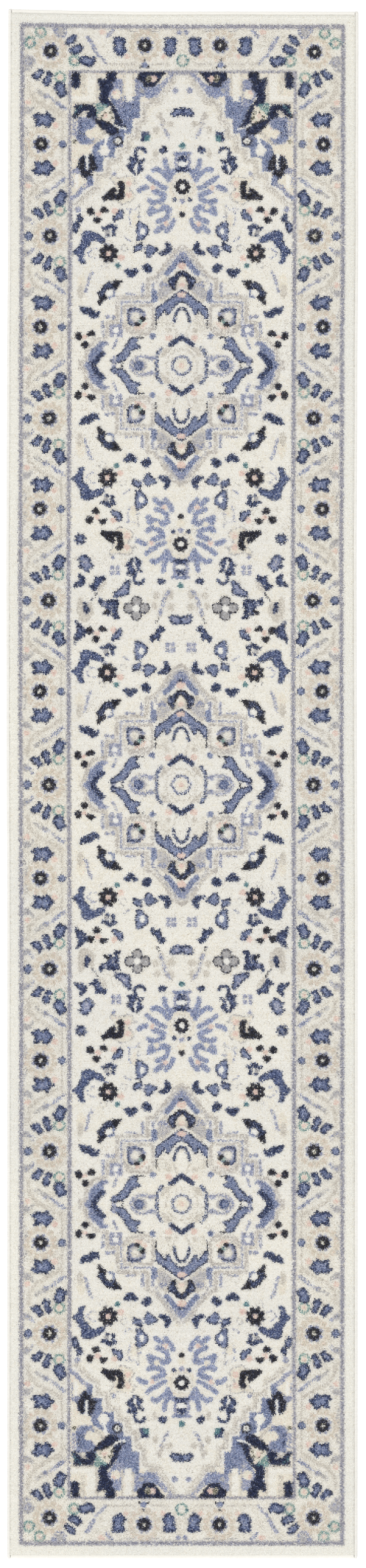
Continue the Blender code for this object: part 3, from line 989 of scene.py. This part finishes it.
def newMaterial(name, roughness, sheen=0.0, sheenRoughness=0.5, specular=0.3):
    material = bpy.data.materials.new(name)
    material.use_nodes = True
    n = Nodes(material.node_tree)
    shader = material.node_tree.nodes["Principled BSDF"]
    shader.inputs["Roughness"].default_value = roughness
    shader.inputs["Sheen Weight"].default_value = sheen
    shader.inputs["Sheen Roughness"].default_value = sheenRoughness
    shader.inputs["Specular IOR Level"].default_value = specular
    where = n.add("TexCoord").outputs["Object"]
    return material, n, shader.inputs, where


def useEffect(n, name, **values):
    node = n.add("Group", node_tree=effects[name])
    for key, value in values.items():
        n.feed(node.inputs[key.replace("_", " ")], value)
    return node.outputs


def relief(n, inputs, height, distance, strength=1.0):
    bump = n.add("Bump", {"Height": height, "Distance": distance, "Strength": strength})
    n.feed(inputs["Normal"], bump.outputs[0])


def shaded(n, colour, shadeOf):
    tone = n.add("CombineColor", {"Red": shadeOf, "Green": shadeOf, "Blue": shadeOf})
    return n.blend(1.0, colour, tone.outputs[0], "MULTIPLY")


def makePileYarn():
    material, n, inputs, where = newMaterial("pileYarn", 0.92, sheen=0.12, specular=0.15)
    knot = n.add("Attribute", attribute_name="knot").outputs["Color"]
    # the grain's Shade darkens the gaps between the tufts' tips: painted shade, mixed with the fibres' own
    # tone
    grain = useEffect(n, "yarnGrain", Vector=where, Tip_Size=0.0011, Gap=0.24)
    n.feed(inputs["Base Color"], shaded(n, knot, grain["Shade"]))
    relief(n, inputs, grain["Height"], 0.0005, 0.6)
    return material


def makeCloth(name, light, dark, roughness, warp, weft, depth, stain=0.4):
    material, n, inputs, where = newMaterial(name, roughness, sheen=0.08, specular=0.2)
    weave = useEffect(n, "plainWeave", Vector=where, Warp=warp, Weft=weft)
    soil = useEffect(n, "slowStain", Vector=where, Size=0.04)
    threads = n.blend(weave["Over"], dark, light)
    worn = n.maths("MULTIPLY", soil["Amount"], stain)
    n.feed(inputs["Base Color"], n.blend(worn, threads, dark))
    relief(n, inputs, weave["Height"], depth)
    return material


def makeWrapYarn(name, light, dark, perMetre):
    # yarn laid round an edge: colour changes from turn to turn, and fine fibres along each turn, with painted
    # shade in the gaps between them
    material, n, inputs, where = newMaterial(name, 0.7, sheen=0.15, specular=0.3)
    split = n.add("SeparateXYZ", {"Vector": where})
    turn = n.maths("FLOOR", n.maths("MULTIPLY", split.outputs["Y"], perMetre))
    random = n.add("TexWhiteNoise", {"W": turn}, noise_dimensions="1D").outputs["Value"]
    # the grain paints shade into the gaps between the fibre tips
    grain = useEffect(n, "yarnGrain", Vector=where, Tip_Size=0.0005, Gap=0.12)
    soil = useEffect(n, "slowStain", Vector=where, Size=0.06)
    amount = n.maths("MULTIPLY", n.maths("ADD", random, soil["Amount"]), 0.35)
    colour = n.blend(amount, light, dark)
    n.feed(inputs["Base Color"], shaded(n, colour, grain["Shade"]))
    relief(n, inputs, grain["Height"], 0.0002, 0.5)
    return material


def makeLatex():
    # brushed-on latex: it fills the weave's valleys, so ribs show through and dry spots are paler
    material, n, inputs, where = newMaterial("latexCoat", 0.62, specular=0.4)
    weave = useEffect(n, "plainWeave", Vector=where, Warp=330.0, Weft=250.0)
    soil = useEffect(n, "slowStain", Vector=where, Size=0.03)
    base = n.blend(weave["Over"], shade(196, 186, 164), shade(214, 206, 187))
    n.feed(inputs["Base Color"], n.blend(soil["Amount"], base, shade(206, 199, 184)))
    n.feed(inputs["Roughness"], n.ramp(soil["Amount"], 0.0, 1.0, 0.5, 0.75))
    relief(n, inputs, weave["Height"], 0.0004)
    return material


pileLook = {
    "knot": 0.002, "strips": 6, "mapRows": 5, "seed": 21,
    "tipSpread": 0.00022, "sideSpread": 0.00028, "hollow": 0.00012,  # how uneven the pile is
    "sideRound": 0.0045, "endRound": 0.0034, "lean": 0.0015,  # how the outer tufts roll down and lean out
    # the wall factor below is painted shade: how much darker the pile's side walls are than the knots above
    # them
    "wallShade": 0.93, "mapMargin": 3, "mapWall": 0.6,  # the last two in knots
}


def latticeOf(cols, rows):
    # where every corner between four knots lies: jittered, and rolled down along the rug's edges
    low, high = (np.array(corner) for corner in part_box("pile"))
    rng = np.random.default_rng(pileLook["seed"])
    x, y = np.meshgrid(np.linspace(low[0], high[0], cols + 1), np.linspace(low[1], high[1], rows + 1))
    sideways, endways = pileLook["sideRound"], pileLook["endRound"]
    s = np.clip(1 - np.minimum(x - low[0], high[0] - x) / sideways, 0, 1)
    t = np.clip(1 - np.minimum(y - low[1], high[1] - y) / endways, 0, 1)
    drop = np.maximum(sideways * (1 - np.sqrt(1 - s * s)), endways * (1 - np.sqrt(1 - t * t)))
    z = high[2] - pileLook["tipSpread"] * 2 - drop
    z += rng.normal(0, pileLook["tipSpread"], x.shape) * (1 - 0.5 * np.maximum(s, t))
    z += pileLook["hollow"] * (np.sin(x * 41 + 3 * np.sin(y * 9)) + np.sin(y * 33 + 2 * np.sin(x * 23)))
    x = x + rng.normal(0, pileLook["sideSpread"], x.shape) + np.sign(x) * pileLook["lean"] * s ** 3
    y = y + rng.normal(0, pileLook["sideSpread"], x.shape) + np.sign(y) * pileLook["lean"] * 0.5 * t ** 3
    return x, y, np.minimum(z, high[2])


def stripMesh(name, across, rows):
    # a closed strip: one face for each knot, walls down in two courses, and a floor; its corners stand on
    # whole numbers until they are placed
    bm = bmesh.new()
    bmesh.ops.create_grid(bm, x_segments=across, y_segments=rows, size=0.5)
    bmesh.ops.scale(bm, verts=bm.verts, vec=(across, rows, 1))
    bmesh.ops.translate(bm, verts=bm.verts, vec=(across / 2, rows / 2, 0))
    rim = [edge for edge in bm.edges if edge.is_boundary]
    for course in (1, 2):
        made = bmesh.ops.extrude_edge_only(bm, edges=rim)["geom"]
        bmesh.ops.translate(bm, verts=newVerts(made), vec=(0, 0, -1))
        rim = [item for item in made if isinstance(item, bmesh.types.BMEdge) and item.is_boundary]
    bmesh.ops.contextual_create(bm, geom=rim)
    bmesh.ops.recalc_face_normals(bm, faces=bm.faces)
    return toMesh(name, bm)


def colourKnots(mesh, knots, firstCol, across, rows):
    faces = len(mesh.polygons)
    centres = np.empty(faces * 3)
    mesh.polygons.foreach_get("center", centres)
    centres = centres.reshape(-1, 3)
    sizes = np.empty(faces, int)
    mesh.polygons.foreach_get("loop_total", sizes)
    faceCol = np.clip(centres[:, 0].astype(int), 0, across - 1) + firstCol
    faceRow = np.clip(centres[:, 1].astype(int), 0, rows - 1)
    tint = np.ones((faces, 4))
    tint[:, :3] = knots[faceRow, faceCol]
    # painted shade: the walls down the sides of the pile are darkened, as if in the pile's shadow
    tint[centres[:, 2] < -0.1, :3] *= pileLook["wallShade"]
    layer = mesh.color_attributes.new("knot", "FLOAT_COLOR", "CORNER")
    layer.data.foreach_set("color", np.repeat(tint, sizes, 0).ravel())


def makePile(material):
    low, high = (np.array(corner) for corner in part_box("pile"))
    across = round((high[0] - low[0]) / pileLook["knot"] / pileLook["strips"])
    rows = round((high[1] - low[1]) / pileLook["knot"])
    cols = across * pileLook["strips"]
    latticeX, latticeY, latticeZ = latticeOf(cols, rows)
    middleX = (np.arange(cols) + 0.5) / cols * (high[0] - low[0]) + low[0]
    middleY = (np.arange(rows) + 0.5) / rows * (high[1] - low[1]) + low[1]
    x, y = np.meshgrid(middleX * 1000, middleY * 1000)
    knots = toLinear(dyeKnots(drawChart(), x, y)) / gain
    for strip in range(pileLook["strips"]):
        mesh = stripMesh(f"pile_{strip + 1}", across, rows)
        colourKnots(mesh, knots, strip * across, across, rows)
        co = coordinates(mesh)
        i, j, level = (np.rint(part).astype(int) for part in co.T)
        # on the map, the walls stand out from the face by a part of a knot for each course
        margin, wall = pileLook["mapMargin"], pileLook["mapWall"]
        wallAlong = wall * level * ((j == rows) * 1 - (j == 0))
        wallAcross = wall * level * ((i == across) * 1 - (i == 0))
        foldMap(mesh, j - wallAlong, margin + i - wallAcross, rows, across + 2 * margin, pileLook["mapRows"])
        k = i + strip * across
        share = -level / 2  # 0 at the tips, 1 at the ground cloth
        co[:, 0] = latticeX[j, k] * (1 - share) + np.clip(latticeX[j, k], low[0], high[0]) * share
        co[:, 1] = latticeY[j, k] * (1 - share) + np.clip(latticeY[j, k], low[1], high[1]) * share
        co[:, 2] = latticeZ[j, k] + (low[2] - latticeZ[j, k]) * share
        layOut(co)
        place(mesh, co)
        piece = addPiece(mesh.name, mesh, material, "pile_yarn", "pile")
    print("pile:", rows * cols, "knots in", pileLook["strips"], "strips")


sheetLook = {  # the two woven sheets under the pile
    "columns": 20, "mapGap": 0.04,
    "ground_cloth": {"node": "ground_weave", "slot": "ground_cloth", "rib": 0.008, "deep": 0.00012},
    "latex_coat": {"node": "latex_backing", "slot": "latex", "rib": 0.004, "deep": 0.00010},
}


def makeSheet(name, material):
    look = sheetLook[name]
    low, high = (np.array(corner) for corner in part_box(look["node"]))
    width, length, thick = high - low
    rows = 2 * round(length / look["rib"])
    bm = bmesh.new()
    bmesh.ops.create_grid(bm, x_segments=sheetLook["columns"], y_segments=rows, size=0.5)
    bmesh.ops.scale(bm, verts=bm.verts, vec=(width, length, 1))
    swept = bmesh.ops.extrude_face_region(bm, geom=bm.faces)["geom"]
    bmesh.ops.translate(bm, verts=newVerts(swept), vec=(0, 0, 1))
    bmesh.ops.recalc_face_normals(bm, faces=bm.faces)
    mesh = toMesh(name, bm)
    co = coordinates(mesh)
    upper = co[:, 2] > 0.5
    row = np.rint((co[:, 1] / length + 0.5) * rows)
    gap = sheetLook["mapGap"]
    across = co[:, 0] + width / 2 + upper * width * (1 + gap)
    foldMap(mesh, co[:, 1] + length / 2, across, length, width * (2 + gap), 2)
    rib = (row % 2) * look["deep"] * (0.8 + 0.2 * np.sin(co[:, 0] * 50 + row))
    co[:, 2] = np.where(upper, high[2] - rib, low[2] + rib)
    layOut(co)
    place(mesh, co)
    piece = addPiece(name, mesh, material, look["slot"], look["node"])
    print(name, "with", rows // 2, "ribs")


sergingLook = {
    "wrap": 0.0018, "rowsPerWrap": 3, "sides": 16, "wall": 0.0012, "innerRows": 60,
    "groove": 0.00034, "slant": 0.0011, "slantFade": 0.01, "uneven": 0.00007,  # how the turns of yarn lie
    "endRound": 0.003, "endClose": 0.75, "seed": {"left": 31, "right": 32},
}


def tubeMesh(sides, rows, low, high):
    # a tube of unit radius along Y, its seam merged
    bm = bmesh.new()
    bmesh.ops.create_grid(bm, x_segments=sides, y_segments=rows, size=0.5)
    for v in bm.verts:
        turn = 2 * math.pi * (v.co.x + 0.5)
        v.co = Vector((math.cos(turn), low + (high - low) * (v.co.y + 0.5), math.sin(turn)))
    bmesh.ops.remove_doubles(bm, verts=bm.verts, dist=1e-7)
    return bm


def roundEnds(y, half, reach):
    # shrinks a radius towards the ends, so that the yarn closes over them
    t = np.clip((np.abs(y) - (half - reach)) / reach, 0, 1)
    return np.sqrt(1 - sergingLook["endClose"] * t * t)


def makeSerging(sideName, material):
    look = sergingLook
    low, high = (np.array(corner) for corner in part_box(f"serging_{sideName}"))
    radius, half = (high[2] - low[2]) / 2, (high[1] - low[1]) / 2
    wraps = round(2 * half / look["wrap"])
    rows = wraps * look["rowsPerWrap"]
    bm = tubeMesh(look["sides"], rows, -half, half)
    inner = tubeMesh(look["sides"], look["innerRows"], -half, half)
    bmesh.ops.scale(inner, verts=inner.verts, vec=(0.5, 1, 0.5))
    innerMesh = toMesh("inner", inner)
    bm.from_mesh(innerMesh)
    bpy.data.meshes.remove(innerMesh)
    for end in (-1, 1):
        rims = [edge for edge in bm.edges if edge.is_boundary and edge.verts[0].co.y * end > 0]
        bmesh.ops.bridge_loops(bm, edges=rims)
    bmesh.ops.recalc_face_normals(bm, faces=bm.faces)
    mesh = toMesh(f"serging_yarn_{sideName}", bm)
    co = coordinates(mesh)
    y = co[:, 1].copy()
    isInner = np.hypot(co[:, 0], co[:, 2]) < 0.8
    turn = np.arctan2(co[:, 2], co[:, 0])
    foldMap(mesh, y + half, (turn / (2 * math.pi)) % 1 * 0.9 + isInner * 1.0, 2 * half, 2.0, 9)
    phase = (y + half) / (2 * half) * wraps
    rng = np.random.default_rng(look["seed"][sideName])
    size = rng.normal(0, look["uneven"], wraps + 2)[np.floor(phase + 0.01).astype(int)]
    yarn = radius - 2 * look["uneven"] - look["groove"] * (1 - np.abs(np.sin(math.pi * phase))) + size
    r = np.where(isInner, radius - look["wall"], yarn * roundEnds(y, half, look["endRound"]))
    r = np.minimum(r, radius)
    ends = 1 - np.clip((np.abs(y) - (half - look["slantFade"])) / look["slantFade"], 0, 1)
    side = -1 if sideName == "left" else 1
    co[:, 0] = np.cos(turn) * r + (low[0] + high[0]) / 2
    co[:, 2] = np.sin(turn) * r + (low[2] + high[2]) / 2
    co[:, 1] = y + np.where(isInner, 0, look["slant"] * side * np.cos(turn) * ends)
    layOut(co)
    place(mesh, co)
    mesh.shade_smooth()
    addPiece(mesh.name, mesh, material, "serging_yarn", f"serging_{sideName}")
    print(mesh.name, "with", wraps, "turns of yarn")


cordLook = {"sides": 18, "step": 0.003, "twist": 0.014, "strands": 3, "groove": 0.12, "endGap": 0.002}


def makeEdgeCord(sideName, material):
    look = cordLook
    low, high = (np.array(corner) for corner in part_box(f"edge_cord_{sideName}"))
    radius, half = (high[2] - low[2]) / 2, (high[1] - low[1]) / 2 - look["endGap"]
    rows = round(2 * half / look["step"])
    bm = tubeMesh(look["sides"], rows, -half, half)
    for end in (-1, 1):
        rim = [edge for edge in bm.edges if edge.is_boundary and edge.verts[0].co.y * end > 0]
        bmesh.ops.contextual_create(bm, geom=rim)
    bmesh.ops.recalc_face_normals(bm, faces=bm.faces)
    mesh = toMesh(f"filler_cord_{sideName}", bm)
    co = coordinates(mesh)
    turn = np.arctan2(co[:, 2], co[:, 0])
    foldMap(mesh, co[:, 1] + half, (turn / (2 * math.pi)) % 1, 2 * half, 1.06, 9)
    strand = np.abs(np.cos(look["strands"] / 2 * (turn - 2 * math.pi * co[:, 1] / look["twist"])))
    r = radius * (1 - look["groove"] * (1 - strand))
    co[:, 0] = np.cos(turn) * r + (low[0] + high[0]) / 2
    co[:, 2] = np.sin(turn) * r + (low[2] + high[2]) / 2
    layOut(co)
    place(mesh, co)
    mesh.shade_smooth()
    addPiece(mesh.name, mesh, material, "filler_cord", f"edge_cord_{sideName}")
    print(mesh.name, "of", look["strands"], "strands")


hemLook = {
    "flapThick": 0.0012, "seamInset": 0.006, "furrow": 0.0008, "furrowHalf": 0.0008, "heelGap": 0.0003,
    "step": 0.0015, "noseSteps": 14, "uneven": 0.00012, "seed": {"far": 41, "near": 42},
}


def hemSection(flapStart, heel, tip, height):
    # the fold seen from the side, flap first: under the rug, round the nose and back to the heel
    look = hemLook
    seam = flapStart + look["seamInset"]
    points = [(flapStart, 0.0003), (flapStart + 0.0004, 0.0), (seam - 0.0030, 0.0)]
    for k in (-1, -0.5, 0, 0.5, 1):  # the furrow that the stitches lie in
        points.append((seam + look["furrowHalf"] * k, look["furrow"] * (1 - k ** 2)))
    points += [(seam + 0.0030, 0.0), (seam + 0.008, 0.0)]
    radius = height / 2
    for k in range(look["noseSteps"] + 1):
        angle = math.radians(-90 + 180 * k / look["noseSteps"])
        points.append((tip - radius + radius * math.cos(angle), radius + radius * math.sin(angle)))
    points += [(heel, height - 0.0004), (heel, look["flapThick"] + 0.0005)]
    points += [(heel - 0.0006, look["flapThick"])]
    return points + [(seam, look["flapThick"]), (flapStart + 0.0004, look["flapThick"]), (flapStart, 0.0009)]


def makeHem(endName, end, material):
    look = hemLook
    low, high = (np.array(corner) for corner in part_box(f"end_hem_{endName}"))
    heel = max(abs(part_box("pile")[0][1]), abs(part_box("pile")[1][1])) + look["heelGap"]
    tip, flapStart = max(abs(low[1]), abs(high[1])), min(abs(low[1]), abs(high[1]))
    section = hemSection(flapStart, heel, tip, high[2])
    steps = round((high[0] - low[0]) / look["step"])
    bm = bmesh.new()
    cap = bm.faces.new([bm.verts.new((0, y, z)) for y, z in section])
    made = bmesh.ops.extrude_face_region(bm, geom=[cap])["geom"]
    bmesh.ops.translate(bm, verts=newVerts(made), vec=(1, 0, 0))
    length = [edge for edge in bm.edges if abs(edge.verts[0].co.x - edge.verts[1].co.x) > 0.5]
    bmesh.ops.subdivide_edges(bm, edges=length, cuts=steps - 1, use_grid_fill=False)
    bmesh.ops.scale(bm, verts=bm.verts, vec=(high[0] - low[0], end, 1))
    bmesh.ops.translate(bm, verts=bm.verts, vec=(low[0], 0, 0))
    bmesh.ops.recalc_face_normals(bm, faces=bm.faces)
    mesh = toMesh(f"turned_hem_{endName}", bm)
    co = coordinates(mesh)
    rng = np.random.default_rng(look["seed"][endName])
    column = np.rint((co[:, 0] - low[0]) / (high[0] - low[0]) * steps).astype(int)
    co[:, 0] = low[0] + (high[0] - low[0]) * column / steps  # cutting leaves them a little off
    pull = np.convolve(rng.normal(0, 1, steps + 7), np.ones(7) / 7, "valid") * look["uneven"] * 2
    thread = rng.normal(0, look["uneven"], steps + 1)
    outside = np.abs(co[:, 1]) > heel + 0.001
    order = {(round(y, 6), round(z, 6)): k for k, (y, z) in enumerate(section)}
    around = np.array([order.get((round(abs(y), 6), round(z, 6)), 0) for y, z in co[:, 1:]], float)
    foldMap(mesh, co[:, 0] - low[0], around, high[0] - low[0], len(section) - 0.9, 4)
    inwards = (pull + thread)[column] * outside - look["uneven"] * 3 * outside
    co[:, 1] += end * inwards
    co[:, 2] = np.clip(co[:, 2] + thread[column] * (co[:, 2] > 0.002) * outside, 0, high[2])
    layOut(co)
    place(mesh, co)
    mesh.shade_smooth()
    mesh.set_sharp_from_angle(angle=math.radians(60))
    piece = addPiece(mesh.name, mesh, material, "hem_cloth", f"end_hem_{endName}")
    print(mesh.name, "with", steps, "columns of threads")


stitchLook = {"length": 0.0034, "gap": 0.0009, "sides": 8, "rings": 6, "slant": 4}


def makeStitches(endName, material):
    look = stitchLook
    low, high = (np.array(corner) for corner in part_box(f"hem_stitching_{endName}"))
    middle, pitch = (low + high) / 2, look["length"] + look["gap"]
    count = int((high[0] - low[0]) / pitch)
    bm = bmesh.new()
    for k in range(count):
        ball = {"u_segments": look["sides"], "v_segments": look["rings"], "radius": 0.5}
        made = bmesh.ops.create_uvsphere(bm, **ball)["verts"]
        bmesh.ops.rotate(bm, verts=made, matrix=Matrix.Rotation(math.radians(90), 3, "Y"))
        bmesh.ops.scale(bm, verts=made, vec=(look["length"], high[1] - low[1], high[2] - low[2]))
        bmesh.ops.rotate(bm, verts=made, matrix=Matrix.Rotation(math.radians(look["slant"]), 3, "Z"))
        x = low[0] + (k + 0.5) * (high[0] - low[0]) / count
        bmesh.ops.translate(bm, verts=made, vec=(x, middle[1], middle[2]))
    mesh = toMesh(f"lock_stitches_{endName}", bm)
    co = coordinates(mesh)
    layOut(co)
    place(mesh, co)
    mesh.shade_smooth()
    addPiece(mesh.name, mesh, material, "stitch_thread", f"hem_stitching_{endName}")
    print(mesh.name, "with", count, "stitches")


stageLook = {
    "floorSize": 600, "floor": (0.94, 0.94, 0.935, 1), "floorPale": (0.95, 0.95, 0.95, 1),
    "lens": 100, "sensor": 36, "frameHeight": 3.0912, "aim": (0.0014, 0.0017, 0.004), "clipEnd": 100,
}


def makeStage():
    bm = bmesh.new()
    bmesh.ops.create_grid(bm, x_segments=1, y_segments=1, size=stageLook["floorSize"] / 2)
    floor = bpy.data.objects.new("studio_floor", toMesh("studio_floor", bm))
    bpy.context.scene.collection.objects.link(floor)
    material, n, inputs, where = newMaterial("floorPaper", 0.9, specular=0.0)
    soil = useEffect(n, "slowStain", Vector=where, Size=0.6)
    n.feed(inputs["Base Color"], n.blend(soil["Amount"], stageLook["floor"], stageLook["floorPale"]))
    floor.data.materials.append(material)
    world = bpy.data.worlds.new("studio")
    world.use_nodes = True
    sky = world.node_tree.nodes["Background"].inputs
    sky["Color"].default_value = (1, 1, 1, 1)
    sky["Strength"].default_value = light["sky"]
    bpy.context.scene.world = world
    sun = bpy.data.objects.new("soft_lamp", bpy.data.lights.new("soft_lamp", "SUN"))
    sun.data.energy = light["sun"]
    sun.data.angle = math.radians(light["sunAngle"])
    sun.rotation_euler = (math.radians(light["sunTilt"]), math.radians(-light["sunTilt"] / 2), 0)
    bpy.context.scene.collection.objects.link(sun)
    bpy.context.scene.view_settings.view_transform = "Standard"


def makeCamera():
    camera = bpy.data.objects.new("camera", bpy.data.cameras.new("camera"))
    camera.data.lens = stageLook["lens"]
    camera.data.sensor_width = stageLook["sensor"]
    height = stageLook["frameHeight"] / 2 * stageLook["lens"] / (stageLook["sensor"] / 2)
    camera.location = Vector(stageLook["aim"]) + Vector((0, 0, height))
    camera.data.clip_end = stageLook["clipEnd"]
    bpy.context.scene.collection.objects.link(camera)
    bpy.context.scene.camera = camera


def main():
    makeCamera()
    makeStage()
    makePile(makePileYarn())
    cloth = makeCloth("groundCloth", shade(206, 188, 156), shade(168, 146, 112), 0.9, 420.0, 300.0, 0.0003)
    makeSheet("ground_cloth", cloth)
    makeSheet("latex_coat", makeLatex())
    wrap = makeWrapYarn("sergingYarn", shade(243, 241, 235), shade(229, 226, 217), 1 / sergingLook["wrap"])
    cord = makeWrapYarn("fillerCord", shade(222, 210, 184), shade(190, 172, 138), 300)
    for sideName in ("left", "right"):
        makeSerging(sideName, wrap)
        makeEdgeCord(sideName, cord)
    hem = makeCloth("hemCloth", shade(244, 242, 236), shade(231, 228, 219), 0.8, 460.0, 700.0, 0.00025, 0.25)
    thread = makeWrapYarn("stitchThread", shade(244, 241, 233), shade(222, 216, 203), 2500)
    for endName, end in (("far", 1), ("near", -1)):
        makeHem(endName, end, hem)
        makeStitches(endName, thread)


main()
